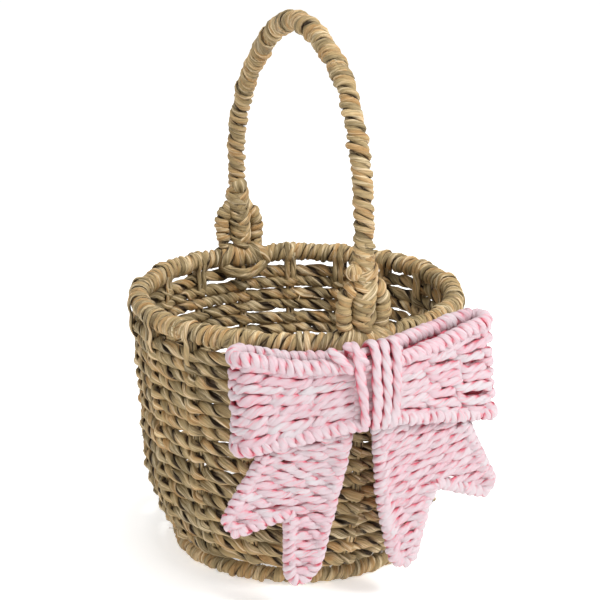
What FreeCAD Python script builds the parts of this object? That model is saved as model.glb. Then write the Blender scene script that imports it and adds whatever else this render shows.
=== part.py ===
"""Easter basket: a round twined seagrass basket on wire stakes, with a hoop handle and a stiff paper bow.

Lengths in millimetres, +Z up. The origin is the centre of the base at floor level, and the bow faces -Y.
"""

import math
import os

import FreeCAD
import Part

Vector = FreeCAD.Vector
UP = Vector(0, 0, 1)
CENTRE = Vector(0, 0, 0)

# wall stakes
STAKE_COUNT = 18
STAKE_RADIUS = 1.25
STAKE_HOLE_RADIUS = 1.45
STAKE_STEP = 360.0 / STAKE_COUNT
STAKE_FOOT_BEND = 3.5

# twined wall rows, from the lowest to the top one
ROW_THICKNESS_RADIUS = 5.3
FIRST_ROW_HEIGHT = 22.0
TOP_ROW_HEIGHT = 176.0
ROW_RADII = (95.7, 101.7, 106.2, 109.2, 111.7, 112.7, 113.2, 113.7, 114.2, 114.7, 115.7, 117.0, 118.0)
ROW_PITCH = (TOP_ROW_HEIGHT - FIRST_ROW_HEIGHT) / (len(ROW_RADII) - 1)

# rim
RIM_RADIUS = 118.0
RIM_HEIGHT = 194.0
RIM_WRAP_RADIUS = 6.5
RIM_WIRE_RADIUS = 2.0
BINDING_RADIUS = 2.7

# base
BASE_RING_RADIUS = 89.5
BASE_RING_HEIGHT = 6.2
BASE_WRAP_RADIUS = 6.5
BASE_WIRE_RADIUS = 2.0
FLOOR_HEIGHT = 14.0
FLOOR_ROW_RADII = (80.0, 70.0, 60.0, 50.0, 40.0, 30.0, 20.0)
FLOOR_ROW_THICKNESS_RADIUS = 4.3
FLOOR_EYE_RADIUS = 3.9
FLOOR_EYE_THICKNESS_RADIUS = 3.8
HUB_RADIUS = 10.0
HUB_WIRE_RADIUS = 2.0

# handle
HANDLE_WRAP_RADIUS = 7.0
HANDLE_WIRE_RADIUS = 2.2
HANDLE_FOOT_HEIGHT = 203.6
HANDLE_PATH = (
    (-118.0, HANDLE_FOOT_HEIGHT),
    (-120.0, 240.0),
    (-119.0, 282.0),
    (-111.0, 323.0),
    (-89.0, 361.0),
    (-50.0, 387.0),
    (0.0, 397.0),
    (46.0, 383.0),
    (84.0, 354.0),
    (112.0, 322.0),
    (125.0, 285.0),
    (125.5, 245.0),
    (118.0, HANDLE_FOOT_HEIGHT),
)

# handle feet: a collar, two side lobes and a lashing over the rim
BRACE_WRAP_RADIUS = 3.6
BRACE_WIRE_RADIUS = 1.0
BRACE_PATH = ((10.8, 237.0), (16.5, 229.0), (20.0, 218.0), (17.5, 208.5), (14.0, 203.7))
COLLAR_RADIUS = 10.5
COLLAR_HEIGHT = 9.0
COLLAR_BOTTOM = 238.0
LASHING_RADIUS = 9.4
LASHING_SPAN = 24.0

# bow loops
LOOP_INNER = 16.0
LOOP_OUTER = 87.0
LOOP_FRONT_INNER = 143.6
LOOP_FRONT_OUTER = 128.0
LOOP_BACK_INNER = 132.6
LOOP_BACK_OUTER = 107.0
LOOP_TOP_INNER = 193.0
LOOP_TOP_OUTER = 197.5
LOOP_BOTTOM_INNER = 143.0
LOOP_BOTTOM_OUTER = 131.0
LOOP_WEAVE_THICKNESS = 4.4
LOOP_RIBS = (45.0, 72.0)
EDGING_RADIUS = 5.3
FRAME_WIRE_RADIUS = 1.1

# bow knot: side-by-side turns of cord round the pinched middle
KNOT_CORD_RADIUS = 3.6
KNOT_TURNS = (-11.4, -3.8, 3.8, 11.4)
KNOT_FRONT = 147.5
KNOT_BACK = 132.2
KNOT_TOP = 190.0
KNOT_BOTTOM = 147.0

# forked tails: outline from the top of the inner edge round the fork to the top of the outer edge
TAIL_PLANE = 138.0
TAIL_LEAN = 8.0
TAIL_OUTLINES = {
    "left": (
        (19.5, 131.0),
        (31.0, 79.0),
        (41.0, 38.0),
        (48.0, 30.0),
        (55.0, 29.0),
        (59.0, 36.0),
        (58.5, 81.0),
        (98.0, 70.5),
        (102.5, 80.0),
        (79.0, 119.5),
    ),
    "right": (
        (4.5, 131.0),
        (8.5, 83.0),
        (19.0, 36.0),
        (26.0, 28.5),
        (33.0, 31.0),
        (44.0, 70.0),
        (53.0, 85.5),
        (96.0, 68.0),
        (102.5, 76.0),
        (79.0, 120.5),
    ),
}
TAIL_THICKNESS = 4.4
TAIL_EDGING_RADIUS = 4.8

# cord that ties the bow to the wall
TIE_RADIUS = 1.0
TIE_SIDE = 3.4
TIE_INSIDE = 104.0
TIE_ROW = 11

PARTS_FOLDER = "parts"


def save(name, *solids):
    """Write one named piece, made of one or more closed solids."""
    for solid in solids:
        if not solid.isValid() or solid.Volume <= 0:
            raise ValueError("bad solid in " + name)
    shape = solids[0] if len(solids) == 1 else Part.makeCompound(list(solids))
    shape.exportStep(os.path.join(PARTS_FOLDER, name + ".step"))


def one_solid(shape):
    """The only solid of a shape."""
    if len(shape.Solids) != 1:
        raise ValueError("expected one solid")
    return shape.Solids[0]


def turned(shape, degrees):
    """A copy of a shape, turned about the basket's axis."""
    copy = shape.copy()
    copy.rotate(CENTRE, UP, degrees)
    return copy


def rod(start, end, radius):
    """A straight round rod."""
    return Part.makeCylinder(radius, (end - start).Length, start, end - start)


def bent_rod(points, radius):
    """Straight rods joined by ball corners."""
    pieces = [rod(a, b, radius) for a, b in zip(points, points[1:])]
    body = pieces[0]
    for corner, piece in zip(points[1:-1], pieces[1:]):
        body = body.fuse(Part.makeSphere(radius, corner)).fuse(piece)
    return one_solid(body.removeSplitter())


def sweep(points, radius):
    """A round bar along a smooth curve through the points."""
    curve = Part.BSplineCurve()
    curve.interpolate(points)
    start = curve.value(curve.FirstParameter)
    heading = curve.tangent(curve.FirstParameter)[0]
    section = Part.Wire([Part.Circle(start, heading, radius).toShape()])
    return one_solid(Part.Wire([curve.toShape()]).makePipeShell([section], True, False))


def ring(radius, thickness_radius, height):
    """A round-section ring lying level."""
    return Part.makeTorus(radius, thickness_radius, Vector(0, 0, height), UP)


def stake_side(radius, height):
    """A point on the first stake's plane, at the front of the basket."""
    return Vector(0, -radius, height)


def drilled(body, hole):
    """The body with one hole at every stake."""
    holes = [turned(hole, STAKE_STEP * number) for number in range(STAKE_COUNT)]
    return one_solid(body.cut(Part.makeCompound(holes)))


def row_height(number):
    """Height of a wall row's middle."""
    return FIRST_ROW_HEIGHT + ROW_PITCH * number


def stake():
    """The front stake: from the rim wire down the wall, under the wall and in to the hub."""
    foot_radius = ROW_RADII[0] - 1.5
    points = [stake_side(RIM_RADIUS, RIM_HEIGHT - RIM_WIRE_RADIUS)]
    for number in reversed(range(len(ROW_RADII))):
        points.append(stake_side(ROW_RADII[number], row_height(number)))
    foot_top = FLOOR_HEIGHT + STAKE_FOOT_BEND
    points.append(stake_side(foot_radius, foot_top))
    wall = Part.BSplineCurve()
    wall.interpolate(points)
    corner_dip = STAKE_FOOT_BEND * (1 - math.sqrt(0.5))
    corner = Part.Arc(
        points[-1],
        stake_side(foot_radius - corner_dip, FLOOR_HEIGHT + corner_dip),
        stake_side(foot_radius - STAKE_FOOT_BEND, FLOOR_HEIGHT),
    )
    hub_edge = HUB_RADIUS + HUB_WIRE_RADIUS
    run_start = stake_side(foot_radius - STAKE_FOOT_BEND, FLOOR_HEIGHT)
    run = Part.LineSegment(run_start, stake_side(hub_edge, FLOOR_HEIGHT))
    heading = wall.tangent(wall.FirstParameter)[0]
    section = Part.Wire([Part.Circle(points[0], heading, STAKE_RADIUS).toShape()])
    path = Part.Wire([wall.toShape(), corner.toShape(), run.toShape()])
    return one_solid(path.makePipeShell([section], True, False))


def make_wall():
    """The stakes and the twined rows threaded on them."""
    front_stake = stake()
    for number in range(STAKE_COUNT):
        save("stake_%02d" % (number + 1), turned(front_stake, STAKE_STEP * number))
    last = len(ROW_RADII) - 1
    for number, radius in enumerate(ROW_RADII):
        low = max(number - 1, 0)
        high = min(number + 1, last)
        lean = Vector(0, ROW_RADII[low] - ROW_RADII[high], ROW_PITCH * (high - low))
        lean.normalize()
        middle = stake_side(radius, row_height(number))
        reach = lean * (ROW_THICKNESS_RADIUS + 1.0)
        hole = rod(middle - reach, middle + reach, STAKE_HOLE_RADIUS)
        row = ring(radius, ROW_THICKNESS_RADIUS, row_height(number))
        save("wall_row_%02d" % (number + 1), drilled(row, hole))


def make_rim():
    """The wrapped rim on its wire, and the bindings between it and the top row."""
    wire = ring(RIM_RADIUS, RIM_WIRE_RADIUS, RIM_HEIGHT)
    save("rim_wire", wire)
    stake_top = stake_side(RIM_RADIUS, RIM_HEIGHT - RIM_WIRE_RADIUS / 2)
    socket = rod(stake_side(RIM_RADIUS, RIM_HEIGHT - RIM_WRAP_RADIUS - 1), stake_top, STAKE_HOLE_RADIUS)
    wrap = ring(RIM_RADIUS, RIM_WRAP_RADIUS, RIM_HEIGHT)
    save("rim_wrap", drilled(wrap.cut(wire), socket))
    gap_bottom = stake_side(ROW_RADII[-1], TOP_ROW_HEIGHT + ROW_THICKNESS_RADIUS)
    gap_top = stake_side(RIM_RADIUS, RIM_HEIGHT - RIM_WRAP_RADIUS)
    sleeve = rod(gap_bottom, gap_top, BINDING_RADIUS).cut(rod(gap_bottom, gap_top, STAKE_HOLE_RADIUS))
    save("rim_bindings", *[turned(one_solid(sleeve), STAKE_STEP * number) for number in range(STAKE_COUNT)])


def make_base():
    """The standing ring, the woven floor and the hub wire that ends the stakes."""
    wire = ring(BASE_RING_RADIUS, BASE_WIRE_RADIUS, BASE_RING_HEIGHT)
    save("base_ring_wire", wire)
    reach = BASE_RING_RADIUS + BASE_WRAP_RADIUS + 1
    under_floor = Part.makeCylinder(reach, BASE_WRAP_RADIUS, Vector(0, 0, -BASE_WRAP_RADIUS), UP)
    wrap = ring(BASE_RING_RADIUS, BASE_WRAP_RADIUS, BASE_RING_HEIGHT).cut(wire).cut(under_floor)
    save("base_ring_wrap", one_solid(wrap))
    hub_side = stake_side(HUB_RADIUS, FLOOR_HEIGHT)
    wall_side = stake_side(BASE_RING_RADIUS, FLOOR_HEIGHT)
    hole = rod(hub_side, wall_side, STAKE_HOLE_RADIUS)
    rings = [ring(radius, FLOOR_ROW_THICKNESS_RADIUS, FLOOR_HEIGHT) for radius in FLOOR_ROW_RADII]
    rows = [drilled(row, hole) for row in rings]
    eye = ring(FLOOR_EYE_RADIUS, FLOOR_EYE_THICKNESS_RADIUS, FLOOR_HEIGHT)
    save("floor_weave", eye, *rows)
    save("hub_ring_wire", ring(HUB_RADIUS, HUB_WIRE_RADIUS, FLOOR_HEIGHT))


def make_handle():
    """The bent hoop and its coil wrap."""
    points = [Vector(0, y, z) for y, z in HANDLE_PATH]
    wire = sweep(points, HANDLE_WIRE_RADIUS)
    save("handle_wire", wire)
    save("handle_wrap", one_solid(sweep(points, HANDLE_WRAP_RADIUS).cut(wire)))


def leg_depth(side, height):
    """How far forward or back the hoop stands at a height near its foot."""
    leg = sorted([point for point in HANDLE_PATH if point[0] * side > 0], key=lambda point: point[1])
    foot, knee = leg[0], leg[1]
    return foot[0] + (knee[0] - foot[0]) * (height - foot[1]) / (knee[1] - foot[1])


def make_foot(name, side):
    """One handle foot: two wrapped lobes, a collar above them and a lashing round the rim."""
    wires = []
    wraps = []
    for hand in (-1, 1):
        points = [Vector(hand * x, leg_depth(side, z), z) for x, z in BRACE_PATH]
        wire = sweep(points, BRACE_WIRE_RADIUS)
        wires.append(wire)
        wraps.append(one_solid(sweep(points, BRACE_WRAP_RADIUS).cut(wire)))
    save(name + "_foot_brace_wire", *wires)
    save(name + "_foot_brace_wrap", *wraps)
    around = RIM_RADIUS * 1.5
    sector = Part.makeCylinder(around, 2 * around, CENTRE, UP, LASHING_SPAN)
    sector.rotate(CENTRE, UP, 90.0 * side - LASHING_SPAN / 2)
    lashing = ring(RIM_RADIUS, LASHING_RADIUS, RIM_HEIGHT).common(sector)
    lashing = lashing.cut(ring(RIM_RADIUS, RIM_WRAP_RADIUS, RIM_HEIGHT))
    socket = rod(stake_side(RIM_RADIUS, 0), stake_side(RIM_RADIUS, RIM_HEIGHT), BINDING_RADIUS)
    if side > 0:
        socket = turned(socket, 180)
    lashing = one_solid(lashing.cut(socket))
    bottom = Vector(0, leg_depth(side, COLLAR_BOTTOM), COLLAR_BOTTOM)
    top = Vector(0, leg_depth(side, COLLAR_BOTTOM), COLLAR_BOTTOM + COLLAR_HEIGHT)
    bore = sweep([Vector(0, y, z) for y, z in HANDLE_PATH], HANDLE_WRAP_RADIUS)
    collar = one_solid(rod(bottom, top, COLLAR_RADIUS).cut(bore))
    save(name + "_foot_lashing", lashing, collar)


def loop_point(along, depth, height):
    """A point of the bow, measured to the right, forward of the basket's axis and up."""
    return Vector(along, -depth, height)


def loop_edge(side, inner_height, outer_height, from_knot):
    """Points along one edge of a bow loop: out along the front, round the end and back."""
    slope = (outer_height - inner_height) / (LOOP_OUTER - LOOP_INNER)
    bend = (LOOP_FRONT_OUTER - LOOP_BACK_OUTER) / 2
    bend_middle = (LOOP_FRONT_OUTER + LOOP_BACK_OUTER) / 2
    plan = []
    for share in (0.0, 0.25, 0.5, 0.75):
        depth = LOOP_FRONT_INNER + (LOOP_FRONT_OUTER - LOOP_FRONT_INNER) * share
        plan.append((from_knot + (LOOP_OUTER - from_knot) * share, depth))
    for degrees in (75, 45, 15, -15, -45, -75):
        turn = math.radians(degrees)
        plan.append((LOOP_OUTER + bend * math.cos(turn), bend_middle + bend * math.sin(turn)))
    for share in (0.75, 0.5, 0.25, 0.0):
        depth = LOOP_BACK_INNER + (LOOP_BACK_OUTER - LOOP_BACK_INNER) * share
        plan.append((from_knot + (LOOP_OUTER - from_knot) * share, depth))
    edge = []
    for along, depth in plan:
        edge.append(loop_point(side * along, depth, inner_height + slope * (along - LOOP_INNER)))
    return edge


def loop_wall(side, thickness):
    """The upright band of one bow loop, taller than needed."""
    plan = loop_edge(side, 0.0, 0.0, LOOP_INNER)
    curve = Part.BSplineCurve()
    curve.interpolate(plan)
    count = 48
    ahead = []
    behind = []
    for number in range(count + 1):
        share = number / count
        at = curve.FirstParameter + (curve.LastParameter - curve.FirstParameter) * share
        across = curve.tangent(at)[0].cross(UP) * (thickness / 2)
        ahead.append(curve.value(at) + across)
        behind.append(curve.value(at) - across)
    edges = []
    for points in (ahead, behind):
        side_curve = Part.BSplineCurve()
        side_curve.interpolate(points)
        edges.append(side_curve.toShape())
    edges.append(Part.LineSegment(ahead[0], behind[0]).toShape())
    edges.append(Part.LineSegment(ahead[-1], behind[-1]).toShape())
    face = Part.Face(Part.Wire(Part.__sortEdges__(edges)))
    return face.extrude(Vector(0, 0, RIM_HEIGHT * 2))


def make_loop(name, side):
    """One bow loop: wire frame, wrapped edges and the woven band between them."""
    tops = loop_edge(side, LOOP_TOP_INNER, LOOP_TOP_OUTER, LOOP_INNER)
    bottoms = loop_edge(side, LOOP_BOTTOM_INNER, LOOP_BOTTOM_OUTER, LOOP_INNER)
    wires = [sweep(tops, FRAME_WIRE_RADIUS), sweep(bottoms, FRAME_WIRE_RADIUS)]
    rolls = [sweep(tops, EDGING_RADIUS), sweep(bottoms, EDGING_RADIUS)]
    outside = LOOP_OUTER + LOOP_FRONT_OUTER - LOOP_BACK_OUTER
    beyond = (outside - LOOP_INNER) / (LOOP_OUTER - LOOP_INNER)
    top = LOOP_TOP_INNER + (LOOP_TOP_OUTER - LOOP_TOP_INNER) * beyond
    bottom = LOOP_BOTTOM_INNER + (LOOP_BOTTOM_OUTER - LOOP_BOTTOM_INNER) * beyond
    outline = [
        Vector(side * LOOP_INNER, 0, LOOP_TOP_INNER),
        Vector(side * outside, 0, top),
        Vector(side * outside, 0, bottom),
        Vector(side * LOOP_INNER, 0, LOOP_BOTTOM_INNER),
    ]
    mask = Part.Face(Part.makePolygon(outline + outline[:1])).extrude(Vector(0, -2 * RIM_RADIUS, 0))
    band = loop_wall(side, LOOP_WEAVE_THICKNESS).common(mask).cut(rolls[0]).cut(rolls[1])
    ribs = []
    for along in LOOP_RIBS:
        share = (along - LOOP_INNER) / (LOOP_OUTER - LOOP_INNER)
        low = LOOP_BOTTOM_INNER + (LOOP_BOTTOM_OUTER - LOOP_BOTTOM_INNER) * share
        high = LOOP_TOP_INNER + (LOOP_TOP_OUTER - LOOP_TOP_INNER) * share
        depth = LOOP_FRONT_INNER + (LOOP_FRONT_OUTER - LOOP_FRONT_INNER) * share
        low_end = loop_point(side * along, depth, low + EDGING_RADIUS)
        high_end = loop_point(side * along, depth, high - EDGING_RADIUS)
        ribs.append(rod(low_end, high_end, FRAME_WIRE_RADIUS))
    for rib in ribs:
        band = band.cut(rib)
    save(name + "_loop_frame", *(wires + ribs))
    save(name + "_loop_edging", *[one_solid(roll.cut(wire)) for roll, wire in zip(rolls, wires)])
    save(name + "_loop_weave", one_solid(band))


def make_knot():
    """Turns of cord round the middle of the bow."""
    bend = (KNOT_FRONT - KNOT_BACK) / 2
    turns = []
    for along in KNOT_TURNS:
        front_low = loop_point(along, KNOT_FRONT, KNOT_BOTTOM)
        front_high = loop_point(along, KNOT_FRONT, KNOT_TOP)
        back_low = loop_point(along, KNOT_BACK, KNOT_BOTTOM)
        back_high = loop_point(along, KNOT_BACK, KNOT_TOP)
        crown = loop_point(along, KNOT_FRONT - bend, KNOT_TOP + bend)
        dip = loop_point(along, KNOT_FRONT - bend, KNOT_BOTTOM - bend)
        edges = [
            Part.LineSegment(front_low, front_high),
            Part.Arc(front_high, crown, back_high),
            Part.LineSegment(back_high, back_low),
            Part.Arc(back_low, dip, front_low),
        ]
        path = Part.Wire([edge.toShape() for edge in edges])
        section = Part.Wire([Part.Circle(front_low, UP, KNOT_CORD_RADIUS).toShape()])
        turns.append(one_solid(path.makePipeShell([section], True, False)))
    save("bow_knot", *turns)


def make_tail(name, side, outline):
    """One forked tail: wire outline, wrapped edge and the woven panel inside it."""
    points = [Vector(side * along, 0, height) for along, height in outline]
    edge = bent_rod(points, TAIL_EDGING_RADIUS)
    wire = bent_rod(points, FRAME_WIRE_RADIUS)
    panel = Part.Face(Part.makePolygon(points + points[:1])).extrude(Vector(0, TAIL_THICKNESS, 0))
    panel.translate(Vector(0, -TAIL_THICKNESS / 2, 0))
    panel = max(panel.cut(edge).Solids, key=lambda solid: solid.Volume)
    pieces = {"frame": wire, "edging": one_solid(edge.cut(wire)), "weave": panel}
    for kind, piece in pieces.items():
        piece.rotate(CENTRE, UP, side * TAIL_LEAN)
        piece.translate(Vector(0, -TAIL_PLANE, 0))
        save(name + "_tail_" + kind, piece)


def make_bow():
    """The whole bow and the cord that ties it round one wall row."""
    for name, side in (("left", -1), ("right", 1)):
        make_loop("bow_" + name, side)
        make_tail("bow_" + name, side, TAIL_OUTLINES[name])
    make_knot()
    over = row_height(TIE_ROW) + ROW_PITCH / 2
    under = row_height(TIE_ROW) - ROW_PITCH / 2
    back = KNOT_BACK - KNOT_CORD_RADIUS
    tie = [
        loop_point(TIE_SIDE, back, over),
        loop_point(TIE_SIDE, TIE_INSIDE, over),
        loop_point(TIE_SIDE, TIE_INSIDE, under),
        loop_point(TIE_SIDE, back, under),
    ]
    save("bow_tie", bent_rod(tie, TIE_RADIUS))


os.makedirs(PARTS_FOLDER, exist_ok=True)
make_rim()
make_wall()
make_base()
make_handle()
make_foot("front", -1)
make_foot("back", 1)
make_bow()
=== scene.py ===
import math
from itertools import product

import bpy
import numpy as np
from bpy.props import FloatProperty, FloatVectorProperty, IntProperty, PointerProperty
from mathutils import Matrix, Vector


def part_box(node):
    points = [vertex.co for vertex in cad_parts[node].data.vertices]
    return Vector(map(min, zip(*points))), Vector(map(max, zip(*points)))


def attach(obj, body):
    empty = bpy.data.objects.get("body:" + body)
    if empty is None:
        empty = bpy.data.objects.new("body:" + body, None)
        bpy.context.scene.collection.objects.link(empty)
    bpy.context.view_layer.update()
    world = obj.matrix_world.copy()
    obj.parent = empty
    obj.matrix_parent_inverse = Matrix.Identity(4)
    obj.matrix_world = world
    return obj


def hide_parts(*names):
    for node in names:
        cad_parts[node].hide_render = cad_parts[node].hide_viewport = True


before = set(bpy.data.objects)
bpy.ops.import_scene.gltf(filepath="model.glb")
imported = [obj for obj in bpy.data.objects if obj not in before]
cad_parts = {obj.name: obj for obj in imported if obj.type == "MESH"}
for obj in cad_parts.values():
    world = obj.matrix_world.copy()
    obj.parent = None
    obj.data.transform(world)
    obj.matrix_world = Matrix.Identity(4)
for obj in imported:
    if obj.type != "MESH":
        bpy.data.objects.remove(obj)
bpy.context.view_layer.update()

bl_info = {
    "name": "Easter basket",
    "version": (1, 0, 0),
    "blender": (4, 5, 0),
    "location": "View3D > Sidebar > Basket",
    "description": "Twined seagrass basket with a coil-wrapped hoop handle and a paper-rope bow",
    "category": "Object",
}

MM = 0.001
TURN = 2 * math.pi
UP = np.array((0.0, 0.0, 1.0))
SIDEWAYS = np.array((1.0, 0.0, 0.0))
BACKWARD = np.array((0.0, 1.0, 0.0))

# wall and rim, in millimetres, as in the CAD
STAKES = 18
STAKE_STEP = TURN / STAKES
FRONT = -math.pi / 2
ROW_LOW = 22.0
ROW_HIGH = 176.0
ROW_PITCH = (ROW_HIGH - ROW_LOW) / 12
# more rows are drawn than the CAD has: how many, how they crowd upwards, how near the rim they end
TWINED_ROWS = 16
ROW_CROWD = 0.11
ROW_CLOSE = 2.6
RIM_RADIUS = 118.0
RIM_HEIGHT = 194.0
RIM_THICK = 6.5
# a tie between the rim and the top row: how far out from the rim's own radius, and how high
TIE_LOW = ROW_HIGH - ROW_PITCH / 2 + 0.2
TIE_HIGH = RIM_HEIGHT + RIM_THICK + 0.9
TIE_SHAPE = (
    (-7.4, 193), (-5.4, 186), (-6.0, 176), (-3.2, TIE_LOW), (3.2, TIE_LOW), (6.4, 176), (5.8, 186),
    (7.6, 193), (5.0, TIE_HIGH - 1.2), (0, TIE_HIGH), (-5.0, TIE_HIGH - 1.2),
)
BASE_RADIUS = 89.5
BASE_HEIGHT = 6.2
BASE_THICK = 6.5
LEAST_CLEARANCE = 0.15
FLOOR_HEIGHT = 14.0
FLOOR_RADII = (80.0, 70.0, 60.0, 50.0, 40.0, 30.0, 20.0)

# handle and its feet
HANDLE_THICK = 7.0
HANDLE_PATH = (
    (0, -118.0, 203.6), (0, -120.0, 240.0), (0, -119.0, 282.0), (0, -111.0, 323.0), (0, -89.0, 361.0),
    (0, -50.0, 387.0), (0, 0.0, 397.0), (0, 46.0, 383.0), (0, 84.0, 354.0), (0, 112.0, 322.0),
    (0, 125.0, 285.0), (0, 125.5, 245.0), (0, 118.0, 203.6),
)
LOBE_PATH = ((6.5, 234.0), (11.5, 229.0), (14.8, 220.0), (14.2, 210.0), (12.5, 202.0))
# along the rim, height and radius of the small knot beside each foot's collar
KNOBS = {-1: (-8.5, 244.0, 4.0), 1: (0.5, 251.0, 5.2)}
LASH_LOW = 201.5
LASH_PITCH = 6.6
LASH_TURNS = 6
FOOT_CORDS = 8
FOOT_SPREAD = 20.0

# bow
LOOP_INNER = 16.0
LOOP_OUTER = 87.0
LOOP_FRONT = (143.6, 128.0)
LOOP_BACK = (132.6, 107.0)
LOOP_TOP = {-1: (193.0, 193.5), 1: (193.0, 197.5)}
LOOP_BOTTOM = {-1: (143.0, 129.5), 1: (143.0, 131.0)}
LOOP_RIBS = (45.0, 72.0)
LOOP_ROWS = 8
EDGING_THICK = 5.3
LOOP_ENDS = {-1: (81.0, 82.5), 1: (91.5, 84.0)}
LOOP_RISE = {-1: 50.0, 1: 20.0}
LOOP_SAG = 8.0
LOOP_BACK_SAG = {-1: 6.5, 1: 1.0}
KNOT_SHAPE = (
    (148.2, 146.0), (149.4, 158.0), (149.6, 168.0), (149.0, 178.0), (147.4, 188.0),
    (144.8, 195.6), (139.8, 198.6), (134.6, 195.6), (132.4, 190.0), (132.0, 168.0),
    (132.4, 147.0), (135.0, 140.6), (139.8, 138.2), (145.4, 140.4),
)
KNOT_TURNS = ((-13.2, -3.4), (-1.6, -0.8), (5.0, 0.2), (11.6, 0.6))
KNOT_SLANTS = (
    ((-19.0, -146.6, 181.0), (-33.0, -136.0, 197.0)),
    ((-9.0, -148.4, 186.5), (-22.0, -137.5, 199.5)),
)
TAIL_PLANE = 138.0
TAIL_LEAN = math.radians(8.0)
TAIL_ROW_PITCH = 6.5
TAIL_OUTLINES = {
    -1: (
        (19.5, 131.0), (31.0, 79.0), (41.0, 38.0), (48.0, 30.0), (55.0, 29.0),
        (59.0, 36.0), (58.5, 81.0), (98.0, 70.5), (102.5, 80.0), (79.0, 119.5),
    ),
    1: (
        (4.5, 131.0), (8.5, 83.0), (19.0, 36.0), (26.0, 28.5), (33.0, 31.0),
        (44.0, 70.0), (53.0, 85.5), (96.0, 68.0), (102.5, 76.0), (79.0, 120.5),
    ),
}

# how the cords look: ridges and grooves along the fibres, how uneven the turns are, and how much painted
# shade darkens their creases and fillings
PAPER = {"ridges": 3, "groove": 0.26, "spin": 0.2}
PAPER_COIL = {"hand": 1, "wander": 0.09, "bed": 0.36, "uneven": 0.05, **PAPER}
RIM_COIL = {"starts": 3, "wander": 0.12, "uneven": 0.08, "ridges": 2, "groove": 0.26, "sunk": 0.18}
BASE_COIL = {"starts": 2, "wander": 0.14, "uneven": 0.12, "ridges": 2, "groove": 0.24, "sunk": 0.10}
HANDLE_COIL = {
    "starts": 3, "wander": 0.15, "uneven": 0.12, "ridges": 2, "groove": 0.30, "sunk": 0.13, "tone": 0.64,
}
MIDDLE_CORD = {"ridges": 2, "groove": 0.16, "spin": 0.14}
LOBE_COIL = {"wander": 0.10, "uneven": 0.12, "groove": 0.28, "sunk": 0.10}
ROW_STRAND = {"ridges": 4, "spin": 0.10, "groove": 0.30, "sunk": 0.06}
FLOOR_STRAND = {"sides": 10, "spin": 0.07, "groove": 0.26}
# a strand's width and tone change over these lengths; a unit of its map is this long, in millimetres
UNEVEN_EVERY = 9.0
TONE_EVERY = 26.0
MAP_UNIT = 10.0
POINTS_PER_TURN = 14


# paths


def run_length(path):
    """Distance along a path at each of its points."""
    steps = np.linalg.norm(np.diff(path, axis=0), axis=1)
    return np.concatenate(((0.0,), np.cumsum(steps)))


def spots_along(points, run, at):
    """Places at distances along a line of points."""
    return np.column_stack([np.interp(at, run, points[:, axis]) for axis in range(3)])


def resample(points, step, closed=False):
    """Even steps along a line of points."""
    points = np.asarray(points, float)
    if closed:
        points = np.vstack((points, points[:1]))
    run = run_length(points)
    count = max(3, int(round(run[-1] / step)))
    at = np.linspace(0.0, run[-1], count + 1)
    if closed:
        at = at[:-1]
    return spots_along(points, run, at)


def smooth(points, step, closed=False):
    """A smooth line through the points, in even steps."""
    points = np.asarray(points, float)
    if closed:
        padded = np.vstack((points[-1:], points, points[:2]))
    else:
        padded = np.vstack((2 * points[0] - points[1], points, 2 * points[-1] - points[-2]))
    share = np.linspace(0.0, 1.0, 12, endpoint=False)[:, None]
    line = []
    for a, b, c, d in zip(padded, padded[1:], padded[2:], padded[3:]):
        curve = 2 * b + (c - a) * share + (2 * a - 5 * b + 4 * c - d) * share**2
        curve = curve + (3 * b - a - 3 * c + d) * share**3
        line.extend(curve / 2)
    if not closed:
        line.append(points[-1])
    return resample(line, step, closed)


def unit(vectors):
    """Vectors of length one."""
    return vectors / np.maximum(np.linalg.norm(vectors, axis=-1, keepdims=True), 1e-9)


def headings(path, closed):
    """The direction of a path at each of its points."""
    if closed:
        return unit(np.roll(path, -1, axis=0) - np.roll(path, 1, axis=0))
    return unit(np.gradient(path, axis=0))


def drift(rng, count, knots, amount, closed=False):
    """A slowly wandering value along a strand."""
    knots = max(3, int(knots))
    values = rng.normal(0.0, amount, knots + 1)
    if closed:
        values[-1] = values[0]
    at = np.linspace(0.0, knots, count, endpoint=not closed)
    low = np.minimum(at.astype(int), knots - 1)
    share = at - low
    ease = share * share * (3 - 2 * share)
    return values[low] * (1 - ease) + values[low + 1] * ease


def nearest(values, target):
    """Which of the values is nearest to the target."""
    return int(np.argmin(np.abs(np.asarray(values) - target)))


def between(ends, share):
    """A value part of the way from the first to the second."""
    return ends[0] + (ends[1] - ends[0]) * share


def outward(angle):
    """The level direction away from the middle at an angle."""
    return np.array((math.cos(angle), math.sin(angle), 0.0))


def round_the_ring(count):
    """Angles round a ring and the outward direction at each, starting at the front."""
    angles = FRONT + np.linspace(0.0, TURN, count, endpoint=False)
    return angles, np.column_stack((np.cos(angles), np.sin(angles), np.zeros(count)))


def swung(core, first, second, wide, high, phase):
    """A line that swings round a core, along two directions."""
    return core + first * (wide * np.cos(phase))[:, None] + second * (high * np.sin(phase))[:, None]


def circle(radius, height, step):
    """A level circle, counter-clockwise from above, starting at the front."""
    count = int(round(TURN * radius / step))
    return round_the_ring(count)[1] * radius + UP * height


# strands


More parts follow.
